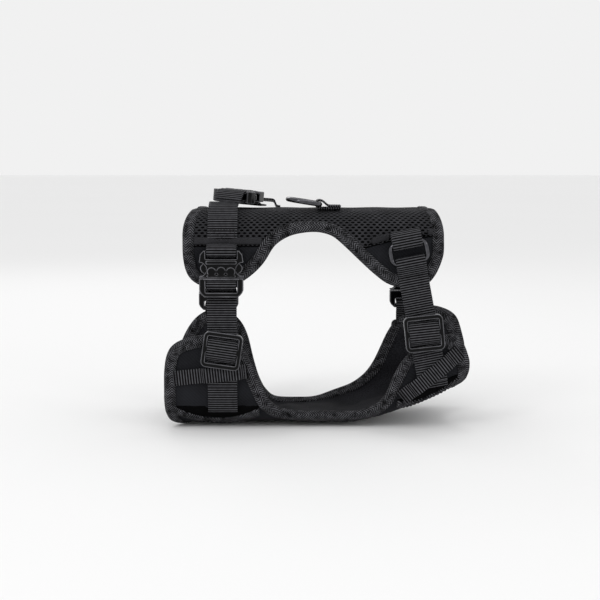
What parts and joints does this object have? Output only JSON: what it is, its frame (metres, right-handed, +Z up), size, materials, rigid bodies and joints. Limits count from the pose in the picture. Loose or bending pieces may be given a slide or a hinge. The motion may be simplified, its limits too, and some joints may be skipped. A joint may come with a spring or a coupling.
{
  "type": "pet vest harness",
  "caption": "Small pet's vest harness: padded back and chest panels joined by adjustable webbing straps, with side-release buckles, sliders and a leash ring.",
  "frame": {"origin": "on the flat underside of the chest panel, midway between the front and rear faces", "axes": "+Z up from the chest panel to the back panel, -Y towards the neck opening, +X to the side of the strap with no buckle"},
  "size_m": [0.2111, 0.1072, 0.1601],
  "materials": {
    "air_mesh": "knitted polyester spacer mesh, matte",
    "edge_binding": "twill polyester tape, matte",
    "softshell": "smooth close-woven softshell",
    "lining": "brushed knit",
    "webbing": "ribbed nylon webbing",
    "buckle_plastic": "moulded acetal, satin gloss",
    "ring_metal": "black lacquered zinc, glossy"
  },
  "bodies": {
    "vest": {"back_panel_air_mesh": "air_mesh", "back_panel_binding": "edge_binding", "chest_panel_binding": "edge_binding", "left_wing_panel": "softshell", "right_wing_panel": "softshell", "chest_panel_shell": "softshell", "back_panel_lining": "lining", "chest_panel_lining": "lining", "left_neck_buckle_socket": "buckle_plastic", "left_girth_buckle_socket": "buckle_plastic", "right_girth_buckle_socket": "buckle_plastic", "top_buckle_socket": "buckle_plastic", "left_neck_keeper_band": "webbing", "left_neck_anchor_webbing": "webbing", "left_girth_keeper_band": "webbing", "left_girth_anchor_webbing": "webbing", "right_girth_keeper_band": "webbing", "right_girth_anchor_webbing": "webbing", "right_neck_strap": "webbing", "right_neck_keeper_band": "webbing", "right_neck_anchor_webbing": "webbing", "left_neck_buckle_tab": "webbing", "left_girth_buckle_tab": "webbing", "right_girth_buckle_tab": "webbing", "right_neck_ring_tab": "webbing", "top_strap_front": "webbing", "top_strap_keeper": "webbing", "leash_ring_tab": "webbing"},
    "left_neck_plug": {"left_neck_buckle_plug": "buckle_plastic", "left_neck_strap": "webbing"},
    "left_neck_left_arm": {"left_neck_buckle_left_arm": "buckle_plastic"},
    "left_neck_right_arm": {"left_neck_buckle_right_arm": "buckle_plastic"},
    "left_neck_slider": {"left_neck_slider": "buckle_plastic", "left_neck_slider_loop": "webbing"},
    "left_girth_plug": {"left_girth_buckle_plug": "buckle_plastic", "left_girth_strap": "webbing"},
    "left_girth_left_arm": {"left_girth_buckle_left_arm": "buckle_plastic"},
    "left_girth_right_arm": {"left_girth_buckle_right_arm": "buckle_plastic"},
    "left_girth_slider": {"left_girth_slider": "buckle_plastic", "left_girth_slider_loop": "webbing"},
    "right_girth_plug": {"right_girth_buckle_plug": "buckle_plastic", "right_girth_strap": "webbing"},
    "right_girth_left_arm": {"right_girth_buckle_left_arm": "buckle_plastic"},
    "right_girth_right_arm": {"right_girth_buckle_right_arm": "buckle_plastic"},
    "right_girth_slider": {"right_girth_slider": "buckle_plastic", "right_girth_slider_loop": "webbing"},
    "top_plug": {"top_buckle_plug": "buckle_plastic", "top_strap_rear": "webbing"},
    "top_left_arm": {"top_buckle_left_arm": "buckle_plastic"},
    "top_right_arm": {"top_buckle_right_arm": "buckle_plastic"},
    "right_neck_slider": {"right_neck_slider": "buckle_plastic", "right_neck_slider_loop": "webbing"},
    "right_neck_ring": {"right_neck_ring": "ring_metal"},
    "leash_ring": {"leash_ring": "ring_metal"}
  },
  "joints": [
    {"name": "left_neck_release", "type": "slide", "parent": "vest", "child": "left_neck_plug", "axis": [0, 0, -1], "range_m": [0, 0.014]},
    {"name": "left_neck_left_arm_flex", "type": "hinge", "parent": "left_neck_plug", "child": "left_neck_left_arm", "pos_m": [-0.0705, -0.0485, 0.1018], "axis": [0, 1, 0], "range_deg": [0, 6], "stiffness_Nm_per_rad": 0.05},
    {"name": "left_neck_right_arm_flex", "type": "hinge", "parent": "left_neck_plug", "child": "left_neck_right_arm", "pos_m": [-0.0535, -0.0485, 0.1018], "axis": [0, 1, 0], "range_deg": [-6, 0], "stiffness_Nm_per_rad": 0.05},
    {"name": "left_neck_slider_slide", "type": "slide", "parent": "left_neck_plug", "child": "left_neck_slider", "axis": [0, 0, 1], "range_m": [-0.01, 0.018]},
    {"name": "left_girth_release", "type": "slide", "parent": "vest", "child": "left_girth_plug", "axis": [0, 0, -1], "range_m": [0, 0.014]},
    {"name": "left_girth_left_arm_flex", "type": "hinge", "parent": "left_girth_plug", "child": "left_girth_left_arm", "pos_m": [-0.0615, 0.0485, 0.0823], "axis": [0, -1, 0], "range_deg": [0, 6], "stiffness_Nm_per_rad": 0.05},
    {"name": "left_girth_right_arm_flex", "type": "hinge", "parent": "left_girth_plug", "child": "left_girth_right_arm", "pos_m": [-0.0785, 0.0485, 0.0823], "axis": [0, -1, 0], "range_deg": [-6, 0], "stiffness_Nm_per_rad": 0.05},
    {"name": "left_girth_slider_slide", "type": "slide", "parent": "left_girth_plug", "child": "left_girth_slider", "axis": [0, 0, 1], "range_m": [-0.01, 0.008]},
    {"name": "right_girth_release", "type": "slide", "parent": "vest", "child": "right_girth_plug", "axis": [0, 0, -1], "range_m": [0, 0.014]},
    {"name": "right_girth_left_arm_flex", "type": "hinge", "parent": "right_girth_plug", "child": "right_girth_left_arm", "pos_m": [0.0785, 0.0485, 0.0843], "axis": [0, -1, 0], "range_deg": [0, 6], "stiffness_Nm_per_rad": 0.05},
    {"name": "right_girth_right_arm_flex", "type": "hinge", "parent": "right_girth_plug", "child": "right_girth_right_arm", "pos_m": [0.0615, 0.0485, 0.0843], "axis": [0, -1, 0], "range_deg": [-6, 0], "stiffness_Nm_per_rad": 0.05},
    {"name": "right_girth_slider_slide", "type": "slide", "parent": "right_girth_plug", "child": "right_girth_slider", "axis": [0, 0, 1], "range_m": [-0.01, 0.008]},
    {"name": "top_release", "type": "slide", "parent": "vest", "child": "top_plug", "axis": [0.2913, 0.9563, -0.0255], "range_m": [0, 0.014]},
    {"name": "top_left_arm_flex", "type": "hinge", "parent": "top_plug", "child": "top_left_arm", "pos_m": [-0.0436, -0.00477, 0.15338], "axis": [-0.0872, 0, -0.9962], "range_deg": [0, 6], "stiffness_Nm_per_rad": 0.05},
    {"name": "top_right_arm_flex", "type": "hinge", "parent": "top_plug", "child": "top_right_arm", "pos_m": [-0.05979, 0.0002, 0.1548], "axis": [-0.0872, 0, -0.9962], "range_deg": [-6, 0], "stiffness_Nm_per_rad": 0.05},
    {"name": "right_neck_slider_slide", "type": "slide", "parent": "vest", "child": "right_neck_slider", "axis": [-0.1908, 0, 0.9816], "range_m": [-0.01, 0.02]},
    {"name": "right_neck_ring_rock", "type": "hinge", "parent": "vest", "child": "right_neck_ring", "pos_m": [0.06016, -0.048, 0.12438], "axis": [0.9816, 0, 0.1908], "range_deg": [-2.5, 2.5]},
    {"name": "leash_ring_turn", "type": "hinge", "parent": "vest", "child": "leash_ring", "pos_m": [0.003, -0.022, 0.1491], "axis": [0, 1, 0], "range_deg": [0, 150]}
  ],
  "couplings": [
    {"joint": "left_neck_right_arm_flex", "follows": "left_neck_left_arm_flex", "ratio": -1},
    {"joint": "left_girth_right_arm_flex", "follows": "left_girth_left_arm_flex", "ratio": -1},
    {"joint": "right_girth_right_arm_flex", "follows": "right_girth_left_arm_flex", "ratio": -1},
    {"joint": "top_right_arm_flex", "follows": "top_left_arm_flex", "ratio": -1}
  ]
}
